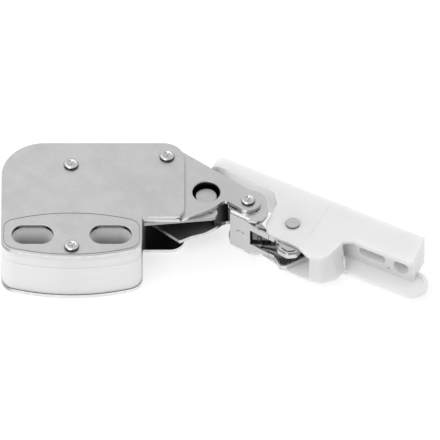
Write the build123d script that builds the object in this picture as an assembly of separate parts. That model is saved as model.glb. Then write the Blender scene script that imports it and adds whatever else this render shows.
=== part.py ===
from build123d import *
import math
import os

# Push to open catch: a riveted two-plate body with a plastic mounting boss, a
# spring-loaded swing arm, a folded clip bracket on the arm's knee, and a plastic
# door adapter hinged on the bracket.
# Millimetres, +Z up. The origin is midway between the two screw slots, on the
# underside that lies against the cabinet panel.

# ---------------------------------------------------------------- dimensions
SHEET = 1.2                      # body, arm and bracket sheet
BODY_H = 18.15                   # over both plates
PLATE_TOP_Z = BODY_H - SHEET     # underside of the top plate

BODY_X0, BODY_X1 = -20.4, 32.65
BODY_Y1 = 35.8
LOBE_X1 = 20.4
LENS_BACK, LENS_FRONT, LENS_R = 9.0, -8.5, 61.4
LENS_CORNER = 4.5
TOP_FRONT_Y, BOTTOM_FRONT_Y = 7.1, 9.25

SLOT_PITCH, SLOT_LEN, SLOT_R = 22.6, 12.0, 3.6

REAR = (-0.3, 27.1)              # rear rivet, latch lever pivot
FRONT = (0.0, -4.8)              # front rivet, through the boss
A = (27.5, 30.3)                 # arm pivot
B = (51.0, 14.2)                 # knee pivot, arm to bracket
P = (63.9, 8.0)                  # adapter pin

RIVET_R, RIVET_HEAD_R, RIVET_HEAD_H = 1.5, 2.2, 0.95
RUN = 0.05                       # radial running clearance

ARM_TOP1, ARM_TOP0 = 16.85, 15.65      # upper arm leaf
INNER1, INNER0 = 15.60, 14.45          # inner leaf
ARM_LOW1, ARM_LOW0 = 7.80, 6.60        # lower arm leaf
DRIVE_PIN = (38.9, 17.8)
DRIVE_PIN_R, DRIVE_HOLE_R, DRIVE_TOP = 3.25, 4.0, 14.9

BR_TOP1, BR_TOP0 = 15.55, 14.35        # bracket top flange
BR_LOW1, BR_LOW0 = 2.45, 1.25          # bracket bottom flange
WEB_A, WEB_B = (45.8, 10.9), (50.9, 7.7)
ADAPTER_SWING = 4.0              # turn of the adapter on its pin, either way
SPRING_T = 0.55                  # spring strips of the bracket
STRIP_LOW = (4.05, 5.9)
STRIP_UP = (11.7, 13.6)
TAB_Z = (12.05, 12.6)

AD_Z0, AD_Z1 = 3.0, 13.9               # adapter
CHEEK = 1.2
CHEEK_LOW = 0.95
AD_O = (41.7, 34.1)
AD_ANGLE = math.radians(-27.66)
AD_LEN = 68.1
PIN_R = 2.1
SCREW_R = 2.5

U = (math.cos(AD_ANGLE), math.sin(AD_ANGLE))          # along the door face
N = (math.sin(AD_ANGLE), -math.cos(AD_ANGLE))         # out of the door face


# ---------------------------------------------------------------- helpers
def ad(u, d):
    """Plan point from adapter coordinates: u along the door face, d out of it."""
    return (AD_O[0] + u * U[0] + d * N[0], AD_O[1] + u * U[1] + d * N[1])


def rounded(pts):
    """Face from a closed list of (x, y) or (x, y, corner radius)."""
    n = len(pts)
    corners = []
    for i in range(n):
        p = pts[i]
        r = p[2] if len(p) > 2 else 0
        v = Vector(p[0], p[1])
        a = Vector(*pts[i - 1][:2]) - v
        b = Vector(*pts[(i + 1) % n][:2]) - v
        if r <= 0:
            corners.append((v, None, v))
            continue
        a, b = a.normalized(), b.normalized()
        half = math.acos(max(-1, min(1, a.dot(b)))) / 2
        t = r / math.tan(half)
        mid = (a + b).normalized()
        m = v + mid * (r / math.sin(half) - r)
        corners.append((v + a * t, m, v + b * t))
    edges = []
    for i in range(n):
        s, m, e = corners[i]
        if m is not None:
            edges.append(Edge.make_three_point_arc(s, m, e))
        nxt = corners[(i + 1) % n][0]
        if (nxt - e).length > 1e-6:
            edges.append(Edge.make_line(e, nxt))
    return Face(Wire(edges))


def slab(face, z0, z1):
    return Pos(0, 0, z0) * extrude(face, amount=z1 - z0, dir=(0, 0, 1))


def disc(c, r, z0, z1):
    return Pos(c[0], c[1], (z0 + z1) / 2) * Cylinder(r, z1 - z0)


def tube(c, r_in, r_out, z0, z1):
    return disc(c, r_out, z0, z1) - disc(c, r_in, z0 - 1, z1 + 1)


def ribbon(pts, t):
    """Face of a bent strip of thickness t along (x, y, bend radius) points."""
    left, right = [], []
    n = len(pts)
    for i, p in enumerate(pts):
        v = Vector(p[0], p[1])
        r = p[2] if len(p) > 2 else 0
        if i == 0 or i == n - 1:
            q = Vector(*pts[1][:2]) - v if i == 0 else v - Vector(*pts[-2][:2])
            q = q.normalized()
            nn = Vector(-q.Y, q.X)
            left.append((v.X + nn.X * t / 2, v.Y + nn.Y * t / 2))
            right.append((v.X - nn.X * t / 2, v.Y - nn.Y * t / 2))
            continue
        d0 = (v - Vector(*pts[i - 1][:2])).normalized()
        d1 = (Vector(*pts[i + 1][:2]) - v).normalized()
        n0, n1 = Vector(-d0.Y, d0.X), Vector(-d1.Y, d1.X)
        m = (n0 + n1).normalized()
        k = t / 2 / m.dot(n0)
        turn = d0.X * d1.Y - d0.Y * d1.X
        rl, rr = (max(r - t / 2, 0.05), r + t / 2) if turn > 0 else (
            r + t / 2, max(r - t / 2, 0.05))
        left.append((v.X + m.X * k, v.Y + m.Y * k, rl))
        right.append((v.X - m.X * k, v.Y - m.Y * k, rr))
    return rounded(left + right[::-1])


def union(*shapes):
    out = shapes[0]
    for s in shapes[1:]:
        out = out + s
    return out


def one(shape):
    """The single solid of a shape, with its faces merged where they run on."""
    solids = shape.solids()
    assert len(solids) == 1, len(solids)
    return solids[0]


def soften(part, pick, r):
    """Fillet of the edges that pick accepts."""
    edges = [e for e in part.edges() if pick(e)]
    return fillet(edges, r)


def at_z(z, e):
    b = e.bounding_box()
    return abs(b.min.Z - z) < 1e-3 and abs(b.max.Z - z) < 1e-3


def profile_turned(c, pts):
    """Solid of revolution about the vertical axis through c, from (r, z) points."""
    face = Face(Wire([Edge.make_line((a[0], 0, a[1]), (b[0], 0, b[1]))
                      for a, b in zip(pts, pts[1:] + pts[:1])]))
    return Pos(c[0], c[1], 0) * revolve(face, Axis.Z)


def rivet(c, z_seat, z_foot, flush_foot=True, r=RIVET_R, head_r=RIVET_HEAD_R,
          head_h=RIVET_HEAD_H, foot_h=0.7):
    """Head with a rolled rim, a ring recess and a centre nib; the foot is either
    set flush in a countersink or headed below z_foot."""
    z, h = z_seat, head_h
    top = [(0, z + h - 0.02), (0.28, z + h - 0.06), (0.46, z + h - 0.24),
           (0.85, z + h - 0.24), (1.10, z + h - 0.06), (1.45, z + h),
           (head_r - 0.42, z + h - 0.04), (head_r - 0.14, z + h - 0.20),
           (head_r, z + h - 0.48), (head_r, z), (r, z)]
    if flush_foot:
        foot = [(r, z_foot + SHEET), (r + 1.0, z_foot), (0, z_foot)]
    else:
        foot = [(r, z_foot), (head_r - 0.1, z_foot), (head_r - 0.1, z_foot - foot_h + 0.25),
                (head_r - 0.4, z_foot - foot_h), (0, z_foot - foot_h)]
    return profile_turned(c, top + foot)


def countersink(c, r=RIVET_R):
    return profile_turned(c, [(0, -0.0), (r + 1.0, 0), (r, SHEET), (r, SHEET + 0.5),
                              (0, SHEET + 0.5)])


def slot_cut(x, z0, z1, r=SLOT_R, length=SLOT_LEN):
    return Pos(x, 0, z0) * extrude(SlotOverall(length, 2 * r), amount=z1 - z0)


# ---------------------------------------------------------------- body outline
def circle_face(c, r):
    return Pos(c[0], c[1]) * Circle(r)


def lens_face(grow=0.0):
    """Rounded lens of the mounting boss."""
    x = LOBE_X1 + grow
    back = LENS_BACK + grow
    front = LENS_FRONT - grow
    y_back = back - LENS_R + math.sqrt(LENS_R ** 2 - x ** 2)
    y_front = front + LENS_R - math.sqrt(LENS_R ** 2 - x ** 2)
    edges = [
        Edge.make_line((-x, y_front), (-x, y_back)),
        Edge.make_three_point_arc((-x, y_back), (0, back), (x, y_back)),
        Edge.make_line((x, y_back), (x, y_front)),
        Edge.make_three_point_arc((x, y_front), (0, front), (-x, y_front)),
    ]
    f = Face(Wire(edges))
    return f.fillet_2d(LENS_CORNER + grow, f.vertices())


def body_outline(front_y, corner_r):
    main = rounded([
        (BODY_X0, -1.0), (BODY_X0, BODY_Y1, 12.5), (BODY_X1, BODY_Y1, 6.3),
        (BODY_X1, front_y, corner_r), (LOBE_X1, front_y, 0.6), (LOBE_X1, -1.0)])
    return main, lens_face()


def body_plate(front_y, corner_r, z0, z1):
    main, lens = body_outline(front_y, corner_r)
    return slab(main + lens, z0, z1)


# ---------------------------------------------------------------- body pieces
def top_plate():
    p = body_plate(TOP_FRONT_Y, 3.0, PLATE_TOP_Z, BODY_H)
    for x in (-SLOT_PITCH / 2, SLOT_PITCH / 2):
        p -= slot_cut(x, PLATE_TOP_Z - 1, BODY_H + 1)
    for c in (REAR, FRONT, A):
        p -= disc(c, RIVET_R, PLATE_TOP_Z - 1, BODY_H + 1)
    # rolled upper edges of the sheet, the slots and the rivet holes' outline
    p = soften(one(p), lambda e: at_z(BODY_H, e) and e.length > 1.2
               and min(math.hypot(e.center().X - c[0], e.center().Y - c[1])
                       for c in (REAR, FRONT, A)) > 3, 0.22)
    # fine pressed line round the lens of the boss
    ring = slab(lens_face(-0.62), BODY_H - 0.12, BODY_H + 1) - slab(
        lens_face(-0.86), BODY_H - 1, BODY_H + 2)
    p -= ring
    return one(p)


def bottom_plate():
    p = body_plate(BOTTOM_FRONT_Y, 4.4, 0, SHEET)
    for x in (-SLOT_PITCH / 2, SLOT_PITCH / 2):
        p -= slot_cut(x, -1, SHEET + 1)
    for c in (REAR, FRONT, A):
        p -= countersink(c)
    return one(p)


def mounting_boss():
    top = Pos(0, 0, PLATE_TOP_Z) * lens_face(-0.25)
    low = Pos(0, 0, SHEET) * lens_face(-0.15)
    p = loft([low, top], ruled=True)
    for x in (-SLOT_PITCH / 2, SLOT_PITCH / 2):
        p -= slot_cut(x, 0, BODY_H + 1)
    p -= disc(FRONT, RIVET_R, 0, BODY_H)
    # shallow relief under the top plate and above the bottom plate
    p -= slab(lens_face(1.0), PLATE_TOP_Z - 4.6, PLATE_TOP_Z + 1) - slab(
        lens_face(-0.42), 0, BODY_H)
    p -= slab(lens_face(1.0), 0, SHEET + 0.22) - slab(lens_face(-0.55), -1, BODY_H)
    return one(p)


def rear_spacer():
    """Stepped sleeve round the rear rivet: a shoulder carries the latch lever."""
    body = union(disc(REAR, 3.0, SHEET, ARM_TOP0), disc(REAR, 2.2, ARM_TOP0, PLATE_TOP_Z))
    return one(body - disc(REAR, RIVET_R, 0, BODY_H))


def pivot_spacer():
    return one(tube(A, RIVET_R, 2.9, SHEET, ARM_LOW0 - 0.45))


def pivot_washer():
    return one(tube(A, RIVET_R, 4.3, ARM_LOW0 - 0.45, ARM_LOW0 - 0.05))


def tangent(c1, r1, c2, r2, side):
    """Outer tangent of two circles on the left (side 1) or right (side -1) of the
    way from c1 to c2: the two touching points and the bearing of the first one."""
    dx, dy = c2[0] - c1[0], c2[1] - c1[1]
    k = math.hypot(dx, dy)
    dx, dy = dx / k, dy / k
    c = (r1 - r2) / k
    w = math.sqrt(1 - c * c) * side
    n = (dx * c - dy * w, dy * c + dx * w)
    return ((c1[0] + n[0] * r1, c1[1] + n[1] * r1), (c2[0] + n[0] * r2, c2[1] + n[1] * r2),
            math.degrees(math.atan2(n[1], n[0])))


def wire_spring(c, r, wire_r, z0, start_deg, turns, pitch, leg0, leg1):
    """Torsion spring round c: a helix that turns anticlockwise going up from start_deg
    at height z0, with a straight leg run on along the wire at each end."""
    hx = Helix(pitch=pitch, height=turns * pitch, radius=r)
    body = sweep(Plane(origin=hx @ 0, z_dir=hx % 0) * Circle(wire_r), path=hx, is_frenet=True)
    faces = [f for f in body.faces() if f.geom_type != GeomType.PLANE]
    caps = sorted((f for f in body.faces() if f.geom_type == GeomType.PLANE),
                  key=lambda f: f.center().Z)
    for cap, d, run in ((caps[0], (hx % 0) * -1, leg0), (caps[1], hx % 1, leg1)):
        for f in extrude(cap, amount=run, dir=d).faces():
            if (f.center() - cap.center()).length > 1e-3:
                faces.append(f)
    return Pos(c[0], c[1], z0) * (Rot(0, 0, start_deg) * Solid(Shell(faces)))


def opening_spring():
    """Torsion coil round the arm pivot. The lower leg bears on the rear spacer, the
    upper one on the near side of the drive pin."""
    r, w, pitch = 4.15, 0.55, 1.12
    a0, a1, s = tangent(A, r, REAR, 3.0 + w + 0.05, 1)
    b0, b1, e = tangent(A, r, DRIVE_PIN, DRIVE_PIN_R + w + 0.05, -1)
    turns = 2 + ((e - s) % 360) / 360
    leg0 = math.hypot(a1[0] - a0[0], a1[1] - a0[1]) + 1.2
    leg1 = math.hypot(b1[0] - b0[0], b1[1] - b0[1]) + 1.2
    z0 = ARM_LOW1 + 0.08 + w + leg0 * pitch / (2 * math.pi * r)
    return wire_spring(A, r, w, z0, s, turns, pitch, leg0, leg1)


def latch_spring():
    """Light torsion coil round the rear spacer, from the boss to the latch lever."""
    r, w, pitch = 3.55, 0.35, 0.85
    return wire_spring(REAR, r, w, 11.0, 0.0, 4.75, pitch, REAR[1] - LENS_BACK - 0.3, 4.6)


LATCH_SWING = 8.0                # turn of the latch lever over the arm's stroke


def latch_lever():
    """Flat lever on the shoulder of the rear spacer. Its outline is laid out beside
    the folded-in arm and then turned back to the released position."""
    outline = rounded([
        (2.4, 25.8), (3.55, 23.2, 1.0), (5.9, 17.9, 6.0), (9.2, 14.1, 0.6), (10.0, 13.3, 0.35),
        (9.2, 12.3, 0.6), (7.2, 12.7, 1.2), (2.0, 19.5, 5.0), (-3.4, 24.2), (-1.0, 28.0)])
    p = slab(outline, ARM_TOP0 + 0.05, ARM_TOP1 - 0.05) + disc(
        REAR, 4.0, ARM_TOP0 + 0.05, ARM_TOP1 - 0.05)
    p -= disc(REAR, 2.2 + RUN, 0, BODY_H)
    p = Pos(*REAR, 0) * (Rot(0, 0, -LATCH_SWING) * (Pos(-REAR[0], -REAR[1], 0) * p))
    return one(p)


# ---------------------------------------------------------------- swing arm
FRONT_EDGE = [(34.5, 8.6, 3.0), (38.2, 9.8, 5.0), (40.2, 11.1, 4.0), (42.3, 12.7, 1.5),
              (43.4, 13.8, 1.2), (44.6, 14.4, 0.9), (46.1, 13.4, 2.0), (49.3, 11.0, 3.0)]
BACK_DIR = (0.7945, -0.6073)
BACK_N = (0.6073, 0.7945)


def upper_leaf():
    hub, end = 5.2, 3.65
    a_t = (A[0] + BACK_N[0] * hub, A[1] + BACK_N[1] * hub)
    b_t = (B[0] + BACK_N[0] * end, B[1] + BACK_N[1] * end)
    outline = rounded([
        (20.0, TOP_FRONT_Y, 1.0), (31.9, TOP_FRONT_Y - 0.1, 1.0)] + FRONT_EDGE + [
        (B[0], B[1] - 3.3), (B[0] + 1.2, B[1]), b_t, a_t, (A[0] - 3.0, A[1] + 1.0),
        (A[0] - hub, A[1]), (18.6, 17.6, 3.0)])
    p = slab(outline, ARM_TOP0, ARM_TOP1) + disc(A, hub, ARM_TOP0, ARM_TOP1) + disc(
        B, end, ARM_TOP0, ARM_TOP1)
    # notch for the latch nose in the front edge
    p -= slab(rounded([(31.15, 5.0), (31.95, 5.0), (31.95, 8.1, 0.2), (31.15, 8.1, 0.2)]),
              ARM_TOP0 - 1, ARM_TOP1 + 1)
    p -= disc(DRIVE_PIN, DRIVE_HOLE_R, 0, BODY_H)
    p -= profile_turned(DRIVE_PIN, [
        (0, ARM_TOP1 - 0.2), (DRIVE_HOLE_R, ARM_TOP1 - 0.2), (DRIVE_HOLE_R + 0.2, ARM_TOP1),
        (DRIVE_HOLE_R + 0.2, ARM_TOP1 + 0.5), (0, ARM_TOP1 + 0.5)])
    # lip folded down along the back
    def so(t, o):
        return (A[0] + BACK_DIR[0] * t + BACK_N[0] * o, A[1] - abs(BACK_DIR[1]) * t + BACK_N[1] * o)
    p += slab(rounded([so(6.6, 1.4), so(20.4, 1.4), so(20.4, 2.6), so(6.6, 2.6)]),
              ARM_LOW1 + 0.15, ARM_TOP0 + 0.2)
    return p


def lower_leaf():
    hub, end = 4.7, 2.65
    outline = rounded([
        (31.2, 6.9, 0.5)] + FRONT_EDGE[:6] + [
        (47.0, 14.6, 2.0), (B[0] - 1.2, B[1] - 2.2), (B[0] + 1.2, B[1]), (B[0] + 0.6, B[1] + 2.4),
        (44.5, 20.2, 6.0), (A[0] + 4.2, A[1] + 2.0), (A[0] - 3.0, A[1] + 1.0),
        (A[0] - hub, A[1]), (20.6, 21.5, 4.0), (18.9, 17.2, 2.5)])
    return slab(outline, ARM_LOW0, ARM_LOW1) + disc(A, hub, ARM_LOW0, ARM_LOW1) + disc(
        B, end, ARM_LOW0, ARM_LOW1)


def swing_arm():
    """One folded sheet: upper leaf, lower leaf and the web at the notch."""
    web = slab(ribbon([(40.9, 13.3), (42.7, 14.1, 2.0), (45.0, 15.3)], SHEET), ARM_LOW0, ARM_TOP1)
    p = upper_leaf() + lower_leaf() + web
    p -= disc(A, RIVET_R + RUN, 0, BODY_H + 1)
    p -= disc(B, RIVET_R, 0, BODY_H + 1)
    p -= disc(DRIVE_PIN, 1.6, ARM_LOW0 - 1, ARM_LOW1 + 1)
    return one(p)


def arm_inner_leaf():
    outline = rounded([
        (20.3, 6.55, 0.8), (41.9, 8.85, 2.0), (42.4, 12.5, 1.8), (35.4, 13.3, 2.5),
        (32.4, 24.0, 4.0), (A[0] + 3.0, A[1] + 2.0), (A[0] - 3.0, A[1] + 1.0),
        (A[0] - 4.5, A[1]), (19.4, 16.5, 3.0)])
    p = slab(outline, INNER0, INNER1) + disc(A, 4.6, INNER0, INNER1)
    p -= disc(A, RIVET_R + RUN, 0, BODY_H)
    # small coined dimple near the free end
    p -= Pos(40.3, 10.9, INNER1 + 0.75) * Sphere(1.0)
    return one(p)


def arm_bush():
    return one(tube(A, RIVET_R + RUN, 3.0, ARM_LOW1, INNER0))


def drive_pin():
    z0 = ARM_LOW0
    return one(profile_turned(DRIVE_PIN, [
        (0, z0), (1.6, z0), (1.6, ARM_LOW1), (DRIVE_PIN_R, ARM_LOW1),
        (DRIVE_PIN_R, DRIVE_TOP - 0.3), (DRIVE_PIN_R - 0.3, DRIVE_TOP), (0, DRIVE_TOP)]))


def knee_rivet():
    return one(rivet(B, ARM_TOP1, BR_LOW0, flush_foot=False, head_r=2.05, head_h=0.9, foot_h=0.7))


def knee_upper_bush():
    return one(tube(B, RIVET_R, 2.6, ARM_LOW1, BR_TOP0 - 0.1))


def knee_lower_bush():
    return one(tube(B, RIVET_R, 2.6, BR_LOW1 + 0.1, ARM_LOW0))


# ---------------------------------------------------------------- clip bracket
def web_point(s, off=0.0):
    """Point on the bracket's web: s along it from its left end, off inwards."""
    dx, dy = WEB_B[0] - WEB_A[0], WEB_B[1] - WEB_A[1]
    k = math.hypot(dx, dy)
    dx, dy = dx / k, dy / k
    return (WEB_A[0] + dx * s - dy * off, WEB_A[1] + dy * s + dx * off)


WEB_LEN = math.hypot(WEB_B[0] - WEB_A[0], WEB_B[1] - WEB_A[1])


def clip_bracket():
    flange = rounded([
        WEB_A, WEB_B, (53.4, 7.2, 1.2), (55.0, 7.7, 1.2), (56.5, 9.8, 1.5), (57.0, 13.0, 1.5),
        (B[0] + 2.0, B[1] + 2.0), (B[0] - 4.8, B[1] + 1.0), (WEB_A[0] + 0.2, WEB_A[1] + 2.0)])
    both = None
    for z0, z1 in ((BR_TOP0, BR_TOP1), (BR_LOW0, BR_LOW1)):
        f = slab(flange, z0, z1) + disc(B, 5.6, z0, z1)
        both = f if both is None else both + f
    web = slab(rounded([web_point(0), web_point(WEB_LEN + 0.2), web_point(WEB_LEN + 0.2, SHEET),
                        web_point(0, SHEET)]), BR_LOW0, BR_TOP1)
    p = both + web
    # fold radii along the top and bottom of the web
    ang = math.degrees(math.atan2(WEB_B[1] - WEB_A[1], WEB_B[0] - WEB_A[0]))
    r = 1.1
    for z, side in ((BR_TOP1, -1), (BR_LOW0, 1)):
        cut = Pos(WEB_LEN / 2, r / 2 - 0.5, z + side * (r / 2 - 0.5)) * Box(
            WEB_LEN + 0.3, r + 1.0, r + 1.0)
        cut -= Pos(WEB_LEN / 2, r, z + side * r) * Rot(0, 90, 0) * Cylinder(r, WEB_LEN + 2)
        p -= Pos(WEB_A[0], WEB_A[1], 0) * Rot(0, 0, ang) * cut
    # two spring strips drawn out of the web, with the window between them
    t = SPRING_T
    s0 = web_point(WEB_LEN - 1.2, t / 2)
    s1 = web_point(WEB_LEN + 1.3, t / 2)
    bend = (58.75, 2.95)
    low = ribbon([s0, s1, (*bend, 0.9), (60.35, -0.85, 1.1), (61.6, -1.05, 1.2), (67.4, 2.35, 1.1),
                  (68.0, 4.2, 0.9), (66.2, 4.7)], t)
    up = ribbon([s0, s1, (*bend, 0.9), (59.65, 0.6)], t)
    p += slab(low, *STRIP_LOW) + slab(up, *STRIP_UP)
    # the strips widen where they leave the web
    root = slab(ribbon([s0, s1, (57.0, 3.95)], t), 1.6, 14.7)
    side = Pos(web_point(WEB_LEN)[0], web_point(WEB_LEN)[1], 0) * Rot(0, 0, ang)
    window = slab(rounded([(0.75, -3), (30, -3), (30, 3), (0.75, 3)]), 5.9, 11.7)
    p += root - side * window - side * slab_xz([(0.1, 14.8), (0.8, 14.5), (3.4, 13.6), (9, 13.6),
                                                (9, 16.0), (0.1, 16.0)], -4, 4) - side * slab_xz(
        [(0.0, 1.0), (0.3, 1.7), (2.6, 3.7), (3.6, 4.05), (9, 4.05), (9, 1.0)], -4, 4)
    # rolled thumb of the upper strip, with its rim curled back at the end
    rim = [(59.35, 1.0), (59.95, -0.9, 1.1), (62.2, -2.75, 1.9), (65.0, -2.45, 1.7),
           (66.25, -0.1, 0.8), (64.9, 0.5, 0.4), (64.5, -0.4)]
    tab = rounded([(59.05, 2.3), (59.5, 0.2, 0.6), (60.2, -1.25, 1.0), (62.2, -2.85, 1.9),
                   (64.9, -2.65, 1.7), (66.0, -0.6, 0.8), (66.6, 0.5, 0.6), (62.4, 2.8, 1.0),
                   (59.9, 4.0, 0.6)])
    p += slab(tab, *TAB_Z) + slab(ribbon(rim[:5], 0.5), TAB_Z[0] - 1.15, TAB_Z[0] + 0.3)
    # pressed ribs that stiffen the thumb
    ribs = ([(59.6, 0.4), (60.1, -0.85, 1.0), (62.3, -2.5, 1.6), (64.8, -2.25, 1.5), (65.9, -0.3)],
            [(60.9, -0.2), (62.4, -1.55, 1.1), (64.3, -1.35, 1.0), (65.0, -0.3)])
    for path in ribs:
        p += slab(ribbon(path, 0.34), TAB_Z[1] - 0.1, TAB_Z[1] + 0.3)
    p += slab(ribbon(rim[3:], 0.45), TAB_Z[0] - 1.15, TAB_Z[0] - 0.35)
    # room for the adapter's upper cheek over the whole turn at the pin
    cheek = offset(upper_cheek(), 0.25)
    for turn in (-ADAPTER_SWING, 0, ADAPTER_SWING):
        p -= slab(Pos(*P, 0) * (Rot(0, 0, turn) * (Pos(-P[0], -P[1], 0) * cheek)),
                  AD_Z1 - CHEEK - 0.1, AD_Z1 + 1)
    # floor of the spring behind the lower strip
    p += slab(rounded([(54.2, 6.2), (58.5, 3.4), (59.9, -0.3, 0.6), (61.5, -0.75, 0.8),
                       (66.9, 2.5, 0.4), (67.2, 4.3, 0.8), (62.2, 5.3, 1.5), (60.3, 8.4, 1.0),
                       (55.6, 9.2, 1.0)]), 4.05, 4.55)
    p -= disc(B, RIVET_R + RUN, 0, BODY_H)
    # shallow coined seat round the knee on the top flange
    seat = slab(rounded([(53.5, 11.0), (58.5, 14.3), (58, 22), (44, 22), (44, 12.0), (47.5, 11.9)]),
                BR_TOP1 - 0.22, BR_TOP1 + 1)
    p -= seat
    # rivet hole through the web
    q = web_point(WEB_LEN * 0.58, SHEET / 2)
    p -= web_bore(q, 1.0)
    return one(p)


def slab_xz(pts, y0, y1):
    """Prism of an (x, z) polygon between two y values."""
    f = Face(Wire([Edge.make_line((a[0], y0, a[1]), (b[0], y0, b[1]))
                   for a, b in zip(pts, pts[1:] + pts[:1])]))
    return extrude(f, amount=y1 - y0, dir=(0, 1, 0))


def web_bore(q, r, length=6.0, z=8.0):
    n = Vector(-(WEB_B[1] - WEB_A[1]), WEB_B[0] - WEB_A[0], 0).normalized()
    o = Vector(q[0], q[1], z) - n * (length / 2)
    return Solid.make_cylinder(r, length, Plane(origin=o, z_dir=n))


STRAP_T = 1.0
STRAP_Z = (5.2, 11.3)


def hinge_strap():
    """Strap riveted behind the web, rolled into an eye round the adapter pin."""
    s0 = web_point(WEB_LEN * 0.58 - 2.1, SHEET + STRAP_T / 2)
    s1 = web_point(WEB_LEN + 0.6, SHEET + STRAP_T / 2)
    ring_mid = PIN_R + RUN + STRAP_T / 2
    # tangent from s1 to the underside of the eye
    dx, dy = P[0] - s1[0], P[1] - s1[1]
    dist = math.hypot(dx, dy)
    base = math.atan2(dy, dx)
    off = math.asin(ring_mid / dist)
    ang = base - off
    touch = (P[0] + ring_mid * math.sin(ang), P[1] - ring_mid * math.cos(ang))
    strip = slab(ribbon([s0, (*s1, 1.5), touch], STRAP_T), *STRAP_Z)
    eye = disc(P, PIN_R + RUN + STRAP_T, *STRAP_Z)
    p = strip + eye - disc(P, PIN_R + RUN, 0, BODY_H)
    # the rolled eye's slit, where the sheet's end comes back to the strap
    slit = Pos(P[0], P[1], 8.25) * Rot(0, 0, math.degrees(ang) + 196) * Pos(4.0, 0, 0) * Box(
        5.0, 0.35, 8.0)
    p -= slit
    q = web_point(WEB_LEN * 0.58, SHEET + STRAP_T / 2)
    p -= web_bore(q, 1.0)
    # hole in the free stretch of the strap
    f = 0.52
    h = (s1[0] + (touch[0] - s1[0]) * f, s1[1] + (touch[1] - s1[1]) * f)
    n = Vector(-math.sin(ang), math.cos(ang), 0)
    o = Vector(h[0], h[1], 7.4) - n * 3
    p -= Solid.make_cylinder(0.75, 6, Plane(origin=o, z_dir=n))
    f = 0.2
    h = (s1[0] + (touch[0] - s1[0]) * f, s1[1] + (touch[1] - s1[1]) * f)
    c = Vector(h[0], h[1], 8.0) - n * 0.35
    p += Pos(c.X, c.Y, c.Z) * Sphere(0.75)
    return one(p)


def strap_rivet():
    n = Vector(-(WEB_B[1] - WEB_A[1]), WEB_B[0] - WEB_A[0], 0).normalized()
    q = web_point(WEB_LEN * 0.58)
    pl = Plane(origin=(q[0], q[1], 8.0), z_dir=n)
    shank = Solid.make_cylinder(1.0, SHEET + STRAP_T, pl)
    front = Solid.make_cone(1.45, 1.6, 0.16, Plane(origin=Vector(q[0], q[1], 8.0) - n * 0.16, z_dir=n))
    back_o = Vector(q[0], q[1], 8.0) + n * (SHEET + STRAP_T)
    back = Solid.make_cone(1.6, 1.2, 0.45, Plane(origin=back_o, z_dir=n))
    return one(Part() + shank + front + back)


# ---------------------------------------------------------------- door adapter
UPPER_CHEEK = [
    (59.4, 15.9, 1.2), (56.2, 8.4, 1.5), (56.3, 5.0, 2.6), (59.6, 2.6, 2.5), (65.3, -0.8, 3.0),
    (68.4, -4.6, 1.8), (71.9, -5.9, 2.2), (75.0, -3.6, 2.5), (78.7, 1.2, 1.8)]
LOWER_CHEEK = [
    (59.0, 15.4, 1.2), (55.6, 8.4, 1.5), (55.0, 4.6, 1.4), (58.9, 1.2, 3.0), (66.2, -3.5, 6.0),
    (71.6, -5.9, 4.0), (76.6, -4.3, 3.0), (78.9, -0.9, 1.0)]
FLANGE_D, WALL_D, FLOOR_D = 10.6, 9.2, 14.45
LUG_END = (69.4, 9.95)
LUG_R = 4.5
LUG_FLANGE_Z, LUG_FLOOR_Z, LUG_RIM_Z = 12.2, 4.4, 5.1
BAR_T = 3.0
BACK_D = (-0.85, -0.25)          # set of the back at u = 0 and at u = AD_LEN
COVE_R = 4.6                     # hollow between the lug's floor and the housing


def back(u, d=0.0):
    """Point on the flat back of the adapter, which lies on the door; d is out from it."""
    return ad(u, BACK_D[0] + (BACK_D[1] - BACK_D[0]) * u / AD_LEN - d)


def prism_wall(z0, low, z1, high):
    """Ruled solid between two closed outlines with the same corners."""
    return loft([Pos(0, 0, z0) * rounded(low), Pos(0, 0, z1) * rounded(high)], ruled=True)


def upper_cheek():
    """Outline of the adapter's top, with the housing's rounded cheek."""
    return rounded([back(13.0), ad(13.0, BAR_T), (*ad(20.5, 3.6), 3.5)] + UPPER_CHEEK + [
        (*ad(50.6, FLANGE_D), 1.6), (*ad(AD_LEN + 1.5, FLANGE_D), 0.8), back(AD_LEN)])


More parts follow.
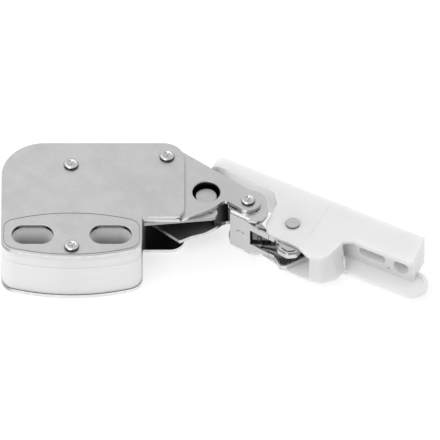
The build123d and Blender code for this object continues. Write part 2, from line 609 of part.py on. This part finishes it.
def door_adapter():
    bar = slab(rounded([back(0), back(AD_LEN - 20), ad(AD_LEN - 20, BAR_T), ad(0, BAR_T)]),
               AD_Z0, AD_Z1)
    # rounded end of the bar, seen square on to the door face
    ends = [e for e in bar.edges()
            if 3.0 < e.length < 5.0
            and (Vector(e.center().X, e.center().Y) - Vector(*ad(0, BAR_T / 2))).length < 1.0]
    bar = fillet(ends, 2.8)
    back_u = 13.0
    shoulder = [back(back_u), ad(back_u, BAR_T), (*ad(20.5, 3.6), 3.5)]
    upper = slab(upper_cheek(), AD_Z1 - CHEEK, AD_Z1)
    upper = soften(one(upper), lambda e: at_z(AD_Z1, e) and e.length > 0.5, 0.3)
    lower = slab(rounded(shoulder + LOWER_CHEEK + [
        (*ad(50.0, FLOOR_D), 0.8), ad(LUG_END[0], FLOOR_D), ad(LUG_END[0], 5.45),
        ad(AD_LEN, 3.0), back(AD_LEN)]), AD_Z0, AD_Z0 + CHEEK_LOW)
    zl, zh = AD_Z0 + CHEEK_LOW, AD_Z1 - CHEEK
    mid = slab(rounded(shoulder + [
        (60.4, 15.4, 1.2), (66.0, 10.0), (73.0, 0.0), (*ad(45.5, WALL_D), 0.8),
        (*ad(AD_LEN + 1.3, WALL_D), 0.5), back(AD_LEN)]), zl, zh)
    # rounded outer wall that closes the right side of the mouth
    mid += prism_wall(
        zl, [(67.0, -3.9, 0.3), (71.6, -6.1, 4.0), (76.7, -4.4, 3.0), (79.2, -1.4, 1.0),
             (*ad(45.3, WALL_D - 0.6), 0.3), (70.0, 6.0, 0.3)],
        zh, [(67.9, -3.9, 0.3), (71.9, -5.9, 2.2), (75.0, -3.6, 2.5), (78.5, 0.9, 1.8),
             (*ad(45.3, WALL_D - 0.6), 0.3), (70.0, 6.0, 0.3)])
    cavity = slab(rounded([
        (44.0, 32.0), ad(21.0, 3.6), ad(27.0, 5.0), (*ad(31.5, 6.5), 2.0), (71.4, 8.5, 3.0),
        (69.9, 1.5, 4.0), (68.7, -4.0), (68.0, -14.0), (36.0, -14.0), (36.0, 28.0)]), zl, zh)
    mid -= cavity
    p = upper + lower + mid + bar
    # lug: thicker top flange, floor and rounded end with a low rim
    p += slab(rounded([ad(46.5, 5.0), (*ad(50.4, FLANGE_D), 1.5),
                       (*ad(AD_LEN + 1.5, FLANGE_D), 0.8), ad(AD_LEN + 0.7, 5.0)]),
              LUG_FLANGE_Z, AD_Z1 - 0.35)
    plan = rounded([ad(45.0, 8.0), ad(45.0, 11.0), (*ad(49.0, FLOOR_D), 0.8),
                    ad(LUG_END[0], FLOOR_D), ad(LUG_END[0], 8.0)])
    end_c = ad(*LUG_END)
    floor = slab(plan, AD_Z0, LUG_FLOOR_Z) + disc(end_c, LUG_R, AD_Z0, LUG_FLOOR_Z)
    rim = tube(end_c, LUG_R - 1.2, LUG_R, LUG_FLOOR_Z - 0.2, LUG_RIM_Z)
    keep = slab(rounded([ad(69.0, 9.0), ad(69.4, 20.0), ad(80.0, 20.0), ad(80.0, 2.0),
                         ad(AD_LEN + 0.6, 2.0)]), 0, BODY_H)
    rim = soften(one(rim), lambda e: at_z(LUG_RIM_Z, e), 0.4) & keep
    p = p + floor + rim
    # cove that carries the floor up into the housing's side
    a, b = Vector(*ad(44.6, 8.6)), Vector(*ad(49.3, 14.6))
    run = (b - a).length
    r = COVE_R
    e1 = Edge.make_line((0, 0, 0), (r, 0, 0))
    e2 = Edge.make_three_point_arc(
        (r, 0, 0), (r - r * math.sin(math.pi / 4), 0, r - r * math.cos(math.pi / 4)), (0, 0, r))
    e3 = Edge.make_line((0, 0, r), (-0.6, 0, r))
    e4 = Edge.make_line((-0.6, 0, r), (-0.6, 0, 0))
    e5 = Edge.make_line((-0.6, 0, 0), (0, 0, 0))
    cove = extrude(Face(Wire([e1, e2, e3, e4, e5])), amount=run, dir=(0, 1, 0))
    turn = math.degrees(math.atan2(b.Y - a.Y, b.X - a.X)) - 90
    cove = Pos(a.X, a.Y, LUG_FLOOR_Z - 0.02) * (Rot(0, 0, turn) * cove)
    cove = cove & slab(rounded([ad(40, 8.0), ad(40, FLOOR_D), ad(60, FLOOR_D), ad(60, 8.0)]), 0, zh)
    p = p + cove
    # screw slot and screw hole through the wall, square to the door face
    p -= wall_bore(65.2, 8.4, SCREW_R)
    for u in (53.4, 58.2):
        p -= wall_bore(u, 8.95, 1.85)
    p -= slab(rounded([ad(53.4, -2), ad(58.2, -2), ad(58.2, WALL_D + 1.0), ad(53.4, WALL_D + 1.0)]),
              8.95 - 1.85, 8.95 + 1.85)
    # small gate pit beside the hole
    q = ad(61.2, WALL_D - 0.7)
    p -= Solid.make_cylinder(0.4, 3.0, Plane(origin=(q[0], q[1], 6.1), z_dir=(N[0], N[1], 0)))
    p -= disc(P, PIN_R, 0, BODY_H)
    # moulding line on the upper cheek and two gate nicks on the back edge
    a, b = Vector(75.0, 15.6), Vector(68.3, 2.2)
    d = (b - a).normalized()
    nn = Vector(-d.Y, d.X) * 0.12
    p -= slab(rounded([(a.X + nn.X, a.Y + nn.Y), (b.X + nn.X, b.Y + nn.Y),
                       (b.X - nn.X, b.Y - nn.Y), (a.X - nn.X, a.Y - nn.Y)]),
              AD_Z1 - 0.07, AD_Z1 + 1)
    for u in (27.9, 38.2):
        p -= slab(rounded([back(u - 0.5, 0.3), back(u, -0.45), back(u + 0.5, 0.3)]), AD_Z1 - 0.6, AD_Z1 + 1)
    return one(p)


def wall_bore(u, z, r):
    q = ad(u, -1.0)
    return Solid.make_cylinder(r, WALL_D + 2.0, Plane(origin=(q[0], q[1], z), z_dir=(N[0], N[1], 0)))


def adapter_pin():
    z0, z1 = AD_Z0, AD_Z1 + 0.4
    return one(profile_turned(P, [
        (0, z0), (PIN_R - 0.2, z0), (PIN_R, z0 + 0.2), (PIN_R, z1 - 0.2), (PIN_R - 0.2, z1),
        (0, z1)]))


# ---------------------------------------------------------------- write
NODES = {
    "top_plate": top_plate,
    "bottom_plate": bottom_plate,
    "mounting_boss": mounting_boss,
    "front_rivet": lambda: one(rivet(FRONT, BODY_H, 0.0)),
    "rear_rivet": lambda: one(rivet(REAR, BODY_H, 0.0)),
    "arm_pivot_rivet": lambda: one(rivet(A, BODY_H, 0.0)),
    "rear_spacer": rear_spacer,
    "pivot_spacer": pivot_spacer,
    "pivot_washer": pivot_washer,
    "opening_spring": opening_spring,
    "latch_spring": latch_spring,
    "latch_lever": latch_lever,
    "swing_arm": swing_arm,
    "arm_inner_leaf": arm_inner_leaf,
    "arm_bush": arm_bush,
    "drive_pin": drive_pin,
    "knee_rivet": knee_rivet,
    "knee_upper_bush": knee_upper_bush,
    "knee_lower_bush": knee_lower_bush,
    "clip_bracket": clip_bracket,
    "hinge_strap": hinge_strap,
    "strap_rivet": strap_rivet,
    "door_adapter": door_adapter,
    "adapter_pin": adapter_pin,
}


def main():
    os.makedirs("parts", exist_ok=True)
    for name, make in NODES.items():
        shape = make()
        shape.label = name
        export_step(shape, f"parts/{name}.step")
        print(name, round(shape.volume, 1))


main()
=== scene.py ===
import math

import bpy
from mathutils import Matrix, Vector


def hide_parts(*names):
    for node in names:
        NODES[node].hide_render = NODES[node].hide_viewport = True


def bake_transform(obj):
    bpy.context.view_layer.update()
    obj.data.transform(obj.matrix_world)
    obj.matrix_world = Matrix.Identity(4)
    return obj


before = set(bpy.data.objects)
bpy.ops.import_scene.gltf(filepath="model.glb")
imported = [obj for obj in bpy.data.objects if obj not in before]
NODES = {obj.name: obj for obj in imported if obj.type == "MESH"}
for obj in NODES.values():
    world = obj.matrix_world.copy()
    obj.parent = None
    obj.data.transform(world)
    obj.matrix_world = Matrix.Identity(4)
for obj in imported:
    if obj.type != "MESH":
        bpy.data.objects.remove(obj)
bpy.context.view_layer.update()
MM = 0.001


# ------------------------------------------------------------------ materials
class Mat:
    """Small helper round one node material."""

    def __init__(self, name):
        self.mat = bpy.data.materials.new(name)
        self.mat.use_nodes = True
        self.nt = self.mat.node_tree
        self.nt.nodes.clear()
        self.out = self.nt.nodes.new("ShaderNodeOutputMaterial")
        self.bsdf = self.nt.nodes.new("ShaderNodeBsdfPrincipled")
        self.nt.links.new(self.bsdf.outputs[0], self.out.inputs[0])
        self.pos = self.nt.nodes.new("ShaderNodeTexCoord").outputs["Object"]

    def set(self, **values):
        for k, v in values.items():
            self.bsdf.inputs[k.replace("_", " ")].default_value = v
        return self

    def link(self, a, b):
        self.nt.links.new(a, b)

    def scaled(self, sx, sy, sz):
        m = self.nt.nodes.new("ShaderNodeMapping")
        m.inputs["Scale"].default_value = (sx, sy, sz)
        self.link(self.pos, m.inputs["Vector"])
        return m.outputs["Vector"]

    def noise(self, scale, detail=3.0, rough=0.5, vec=None, distortion=0.0):
        n = self.nt.nodes.new("ShaderNodeTexNoise")
        n.inputs["Scale"].default_value = scale
        n.inputs["Detail"].default_value = detail
        n.inputs["Roughness"].default_value = rough
        n.inputs["Distortion"].default_value = distortion
        self.link(vec if vec is not None else self.pos, n.inputs["Vector"])
        return n.outputs["Fac"]

    def voronoi(self, scale, feature="F1", vec=None):
        n = self.nt.nodes.new("ShaderNodeTexVoronoi")
        n.feature = feature
        n.inputs["Scale"].default_value = scale
        self.link(vec if vec is not None else self.pos, n.inputs["Vector"])
        return n.outputs["Distance"]

    def ramp(self, fac, stops):
        n = self.nt.nodes.new("ShaderNodeValToRGB")
        e = n.color_ramp.elements
        while len(e) < len(stops):
            e.new(0.5)
        for el, (p, c) in zip(e, stops):
            el.position = p
            el.color = (c, c, c, 1) if isinstance(c, (int, float)) else (*c, 1)
        self.link(fac, n.inputs["Fac"])
        return n.outputs["Color"]

    def span(self, fac, a0, a1, b0, b1):
        n = self.nt.nodes.new("ShaderNodeMapRange")
        for k, v in zip(("From Min", "From Max", "To Min", "To Max"), (a0, a1, b0, b1)):
            n.inputs[k].default_value = v
        self.link(fac, n.inputs["Value"])
        return n.outputs["Result"]

    def mix(self, fac, a, b, kind="MIX"):
        n = self.nt.nodes.new("ShaderNodeMix")
        n.data_type = "RGBA"
        n.blend_type = kind
        if isinstance(fac, (int, float)):
            n.inputs["Factor"].default_value = fac
        else:
            self.link(fac, n.inputs["Factor"])
        for sock, v in (("A", a), ("B", b)):
            s = [i for i in n.inputs if i.name == sock and i.type == "RGBA"][0]
            if isinstance(v, tuple):
                s.default_value = (*v, 1)
            else:
                self.link(v, s)
        return [o for o in n.outputs if o.type == "RGBA"][0]

    def math(self, op, a, b=None):
        n = self.nt.nodes.new("ShaderNodeMath")
        n.operation = op
        for i, v in enumerate((a, b)):
            if v is None:
                continue
            if isinstance(v, (int, float)):
                n.inputs[i].default_value = v
            else:
                self.link(v, n.inputs[i])
        return n.outputs[0]

    def bump(self, height, strength, distance, normal=None):
        n = self.nt.nodes.new("ShaderNodeBump")
        n.inputs["Strength"].default_value = strength
        n.inputs["Distance"].default_value = distance
        self.link(height, n.inputs["Height"])
        if normal is not None:
            self.link(normal, n.inputs["Normal"])
        return n.outputs["Normal"]

    def facing(self, axis):
        """How far the true surface faces along an axis, -1 to 1."""
        g = self.nt.nodes.new("ShaderNodeNewGeometry").outputs["True Normal"]
        x = self.nt.nodes.new("ShaderNodeSeparateXYZ")
        self.link(g, x.inputs[0])
        return x.outputs[axis]

    def up(self):
        return self.facing("Z")

    def within(self, axis, lo, hi, soft=0.0003):
        """1 between two places along an axis, in metres."""
        a = self.span(self.along(axis), lo - soft, lo + soft, 0.0, 1.0)
        b = self.span(self.along(axis), hi - soft, hi + soft, 1.0, 0.0)
        return self.math("MULTIPLY", a, b)

    def along(self, axis):
        x = self.nt.nodes.new("ShaderNodeSeparateXYZ")
        self.link(self.pos, x.inputs[0])
        return x.outputs[axis]

    def open_air(self, distance, samples=8):
        n = self.nt.nodes.new("ShaderNodeAmbientOcclusion")
        n.samples = samples
        n.only_local = True
        n.inputs["Distance"].default_value = distance
        return n.outputs["AO"]

    def to(self, socket, name):
        self.link(socket, self.bsdf.inputs[name])
        return self


def tint(c, k):
    return tuple(min(1.0, v * k) for v in c)


def zinc(name, base, rough, cloudy=0.08, grain=0.3, edge=1.35, recess=0.10, shade_below=0.0,
         shaded_walls=(), left=0.62, foot_shade=1.0):
    """Zinc plated steel sheet: satin, faintly mottled on top, smoother on its sheared edges, with
    a painted highlight or painted shade on its edge faces and painted shade in its recesses."""
    m = Mat(name).set(Metallic=1.0)
    cloud = m.noise(95, 5, 0.62, distortion=0.6)
    blot = m.noise(260, 4, 0.6)
    fine = m.noise(1500, 3, 0.6)
    spangle = m.voronoi(900)
    col = m.mix(m.span(cloud, 0.36, 0.64, 0.0, 1.0), tint(base, 1 - cloudy), tint(base, 1 + cloudy * 0.4))
    col = m.mix(m.span(blot, 0.52, 0.72, 0.0, 0.7), col, tint(base, 1 + cloudy))
    col = m.mix(m.span(spangle, 0.0, 0.7, 0.25, 0.0), col, tint(base, 1 - cloudy))
    # painted highlight or painted shade on the edge faces, its strength set per material, capped on faces
    # turned towards -X and varied in faint blotches
    side = m.span(m.up(), 0.25, 0.6, 1.0, 0.0)
    front = m.span(m.facing("X"), -0.55, -0.25, 0.15, 1.0)
    bright = m.math("MULTIPLY", front, m.span(m.noise(700, 3, 0.6), 0.3, 0.7, 0.72, 1.0))
    col = m.mix(side, col, m.mix(bright, tint(base, min(edge, left)), tint(base, edge)))
    if foot_shade < 1.0:
        # painted shadow on the rounded foot of a head, on the faces turned towards -Y where it meets the
        # sheet
        foot = m.math("MULTIPLY", m.span(m.facing("Y"), -0.50, -0.20, 1.0, 0.0),
                      m.span(m.up(), 0.62, 0.86, 1.0, 0.0))
        col = m.mix(foot, col, tint(base, foot_shade))
    # painted shade in the recesses, from ambient occlusion, flecked with lighter specks
    air = m.span(m.open_air(0.016), 0.30, 0.80, 0.0, 1.0)
    specks = m.span(m.voronoi(1500), 0.05, 0.12, 0.5, 0.0)
    dark = m.mix(specks, tint(base, recess), tint(base, 0.8))
    if shade_below:
        # painted shade: upward faces below this height are darkened, less so at X below about 20 mm
        low = m.span(m.along("Z"), shade_below, shade_below + 0.0004, 1.0, 0.0)
        hid = m.math("MULTIPLY", low, m.span(m.up(), 0.6, 0.9, 0.0, 1.0))
        hid = m.math("MULTIPLY", hid, m.span(m.along("X"), 0.0195, 0.0215, 0.35, 1.0))
        air = m.math("MULTIPLY", air, m.math("SUBTRACT", 1.0, hid))
    # painted shade on walls that stand inside the folded sheet or around a slot, in boxes of (axis, low,
    # high) in metres
    for box in shaded_walls:
        hid = side
        for axis, lo, hi in box:
            hid = m.math("MULTIPLY", hid, m.within(axis, lo, hi))
        air = m.math("MULTIPLY", air, m.math("SUBTRACT", 1.0, hid))
    col = m.mix(air, dark, col)
    m.to(col, "Base Color")
    r1 = m.math("ADD", m.span(fine, 0.3, 0.7, rough - 0.04, rough + 0.06),
                m.math("MULTIPLY", side, -0.08))
    m.to(r1, "Roughness")
    rolled = m.noise(70, 4, 0.6, vec=m.scaled(1, 22, 22))
    h = m.math("ADD", m.math("MULTIPLY", rolled, 0.5), m.math("MULTIPLY", fine, 0.7))
    h = m.math("ADD", h, m.math("MULTIPLY", cloud, 1.5))
    m.to(m.bump(h, grain, 0.00003), "Normal")
    return m.mat


def plastic(name, base, rough=0.42, pit=0.002, pit_shade=0.92, depth=None, glow=None):
    """White moulded plastic: fine matt grain, slight flow streaks and painted shade in the deepest
    corners."""
    m = Mat(name).set(Subsurface_Weight=0.70, Subsurface_Radius=(0.0035, 0.0035, 0.0035),
                      Subsurface_Scale=1.0, Specular_IOR_Level=0.4)
    cloud = m.noise(60, 3, 0.5)
    fine = m.noise(2600, 2, 0.5)
    flow = m.noise(220, 4, 0.55, vec=m.scaled(0.35, 1, 4))
    col = m.mix(m.span(cloud, 0.3, 0.7, 0.0, 1.0), tint(base, 0.975), base)
    col = m.mix(m.span(flow, 0.50, 0.75, 0.0, 0.6), col, tint(base, 0.955))
    # painted shade in corners and pockets, from ambient occlusion
    air = m.span(m.open_air(pit), 0.25, 0.70, 0.0, 1.0)
    inside = tint(base, pit_shade)
    if depth:
        # painted shade in pockets: darker towards the bottom, lightened to white near the top
        inside = m.mix(m.span(m.along("Z"), depth[0], depth[1], 0.0, 1.0), inside, (1.0, 1.0, 1.0))
    col = m.mix(air, inside, col)
    m.to(col, "Base Color")
    if glow:
        # painted light: a glow on the wall faces turned towards -Y within this X band, lifting them out of
        # their shade
        wall = m.math("MULTIPLY", m.span(m.up(), 0.3, 0.7, 1.0, 0.0), m.within("X", glow[0], glow[1], 0.002))
        wall = m.math("MULTIPLY", wall, m.span(m.facing("Y"), -0.6, -0.2, 1.0, 0.0))
        m.set(Emission_Color=(1, 1, 1, 1))
        m.to(m.math("MULTIPLY", wall, glow[2]), "Emission Strength")
    m.to(m.span(flow, 0.3, 0.7, rough - 0.05, rough + 0.06), "Roughness")
    h = m.math("ADD", m.math("MULTIPLY", fine, 0.5), m.math("MULTIPLY", flow, 0.5))
    m.to(m.bump(h, 0.18, 0.00003), "Normal")
    return m.mat


def turned(name, base, rough):
    """Plain turned steel with fine rings of tool marks along the axis."""
    m = Mat(name).set(Metallic=1.0)
    lines = m.noise(500, 2, 0.5, vec=m.scaled(0.15, 0.15, 6))
    cloud = m.noise(200, 3, 0.5)
    col = m.mix(m.span(cloud, 0.3, 0.7, 0, 1), tint(base, 0.85), base)
    # painted shade: faces turned away from the top are darkened
    side = m.span(m.up(), 0.3, 0.7, 0.0, 1.0)
    col = m.mix(side, tint(base, 0.25), col)
    m.to(col, "Base Color")
    m.to(m.span(lines, 0.3, 0.7, rough - 0.06, rough + 0.08), "Roughness")
    m.to(m.bump(lines, 0.25, 0.00002), "Normal")
    return m.mat


M = {
    "top": zinc("plated_sheet_top", (0.525, 0.525, 0.525), 0.44, 0.07, 0.25, edge=1.5, recess=0.06,
                shaded_walls=[[("X", -0.0180, 0.0180), ("Y", -0.0034, 0.0034)]]),
    "arm": zinc("plated_sheet_arm", (0.52, 0.52, 0.52), 0.38, 0.05, 0.25, edge=1.45, recess=0.10,
                shaded_walls=[[("Z", 0.0080, 0.0155)], [("X", 0.0345, 0.0432), ("Y", 0.0135, 0.0222)]]),
    "sheet": zinc("plated_sheet", (0.50, 0.50, 0.50), 0.36, 0.10, 0.3, edge=0.8, recess=0.05),
    "base": zinc("plated_sheet_base", (0.55, 0.55, 0.55), 0.36, 0.10, 0.3, edge=1.6, recess=0.05,
                 shade_below=0.0025),
    "rivet": zinc("plated_rivet", (0.56, 0.56, 0.56), 0.22, 0.03, 0.1, edge=0.22, recess=0.2,
                  foot_shade=0.12),
    "spring": zinc("spring_steel", (0.56, 0.56, 0.56), 0.25, 0.06, 0.2, edge=1.25, recess=0.12, left=1.05),
    "strap": zinc("strap_steel", (0.20, 0.20, 0.20), 0.30, 0.10, 0.3, edge=0.9, recess=0.3),
    "turned": turned("turned_steel", (0.52, 0.52, 0.52), 0.36),
    "white": plastic("white_plastic", (0.775, 0.775, 0.775), glow=(0.044, 0.0605, 0.30)),
    "boss": plastic("white_plastic_boss", (0.86, 0.86, 0.86), pit=0.012, pit_shade=0.42,
                    depth=(0.0105, 0.0158)),
}

LOOK = {
    "top_plate": "top", "bottom_plate": "base", "swing_arm": "arm", "arm_inner_leaf": "sheet",
    "front_rivet": "rivet", "rear_rivet": "rivet", "arm_pivot_rivet": "rivet",
    "knee_rivet": "rivet", "adapter_pin": "rivet",
    "opening_spring": "spring", "latch_spring": "spring", "clip_bracket": "spring",
    "hinge_strap": "strap", "strap_rivet": "spring",
    "mounting_boss": "boss", "door_adapter": "white",
}
BEVEL = {"bottom_plate": 0.14, "swing_arm": 0.16, "arm_inner_leaf": 0.14, "clip_bracket": 0.12,
         "hinge_strap": 0.12, "door_adapter": 0.22, "adapter_pin": 0.15, "drive_pin": 0.2}
for name, obj in NODES.items():
    obj.data.materials.clear()
    obj.data.materials.append(M[LOOK.get(name, "turned")])


# fine rounding of the sheet and moulding edges
for name, width in BEVEL.items():
    mod = NODES[name].modifiers.new("edge", "BEVEL")
    mod.width = width * MM
    mod.segments = 2
    mod.limit_method = "ANGLE"
    mod.angle_limit = math.radians(50)
    mod.use_clamp_overlap = True
    mod.harden_normals = True


# the torsion spring is copied into a separate mesh with its placement baked in, and the imported one is
# hidden
src = NODES["opening_spring"]
mesh = src.data.copy()
mesh.transform(src.matrix_world)
wire = bpy.data.objects.new("opening_spring_wire", mesh)
bpy.context.scene.collection.objects.link(wire)
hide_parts("opening_spring")
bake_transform(wire)


# ------------------------------------------------------------------ stage
def plane(name, size, z, mat, loc=(0, 0)):
    me = bpy.data.meshes.new(name)
    s = size / 2
    me.from_pydata([(-s + loc[0], -s + loc[1], z), (s + loc[0], -s + loc[1], z),
                    (s + loc[0], s + loc[1], z), (-s + loc[0], s + loc[1], z)], [], [(0, 1, 2, 3)])
    ob = bpy.data.objects.new(name, me)
    bpy.context.scene.collection.objects.link(ob)
    me.materials.append(mat)
    return ob


fm = Mat("floor_paper").set(Roughness=0.9, Specular_IOR_Level=0.1)
fm.to(fm.mix(fm.noise(40, 3, 0.5), (0.40, 0.40, 0.40), (0.42, 0.42, 0.42)), "Base Color")
fm.set(Emission_Color=(1, 1, 1, 1), Emission_Strength=0.66)
plane("floor", 3.0, -0.0002, fm.mat, (0.04, 0.01))

world = bpy.data.worlds.new("studio")
bpy.context.scene.world = world
world.use_nodes = True
wt = world.node_tree
bg = wt.nodes["Background"]
# soft studio: bright from above and behind, darker where the unlit front of the room is
coord = wt.nodes.new("ShaderNodeTexCoord").outputs["Generated"]
sep = wt.nodes.new("ShaderNodeSeparateXYZ")
wt.links.new(coord, sep.inputs[0])
span = wt.nodes.new("ShaderNodeMapRange")
span.interpolation_type = "SMOOTHSTEP"
for k, v in zip(("From Min", "From Max", "To Min", "To Max"), (-0.60, 0.10, 0.50, 0.90)):
    span.inputs[k].default_value = v
wt.links.new(sep.outputs["Y"], span.inputs["Value"])
wt.links.new(span.outputs["Result"], bg.inputs["Color"])
bg.inputs["Strength"].default_value = 1.0
bpy.context.scene.view_settings.view_transform = "Standard"


def area(name, loc, target, size, power, size_y=None):
    li = bpy.data.lights.new(name, "AREA")
    li.shape = "RECTANGLE"
    li.size = size
    li.size_y = size_y or size
    li.energy = power
    ob = bpy.data.objects.new(name, li)
    bpy.context.scene.collection.objects.link(ob)
    ob.location = loc
    d = Vector(target) - Vector(loc)
    ob.rotation_euler = d.to_track_quat("-Z", "Y").to_euler()
    return ob


C = (0.042, 0.013, 0.009)
area("key", (-0.25, 0.35, 0.75), C, 0.5, 0.9)
area("fill", (-0.25, -0.35, 0.75), C, 0.4, 2.2)

# ------------------------------------------------------------------ camera
cam_data = bpy.data.cameras.new("camera")
cam = bpy.data.objects.new("camera", cam_data)
bpy.context.scene.collection.objects.link(cam)
cam_data.sensor_width = 36.0
AZ, EL, DIST = math.radians(0.0), math.radians(47.8), 5.6
T = Vector((0.04288, 0.01386, 0.009))
back = Vector((math.sin(AZ) * math.cos(EL), -math.cos(AZ) * math.cos(EL), math.sin(EL)))
cam.location = T + back * DIST
cam.rotation_euler = (-back).to_track_quat("-Z", "Y").to_euler()
cam_data.lens = 3.45 * 1000 * DIST / 440 * 36.0
cam_data.clip_start = 0.05
cam_data.clip_end = 20
bpy.context.scene.camera = cam
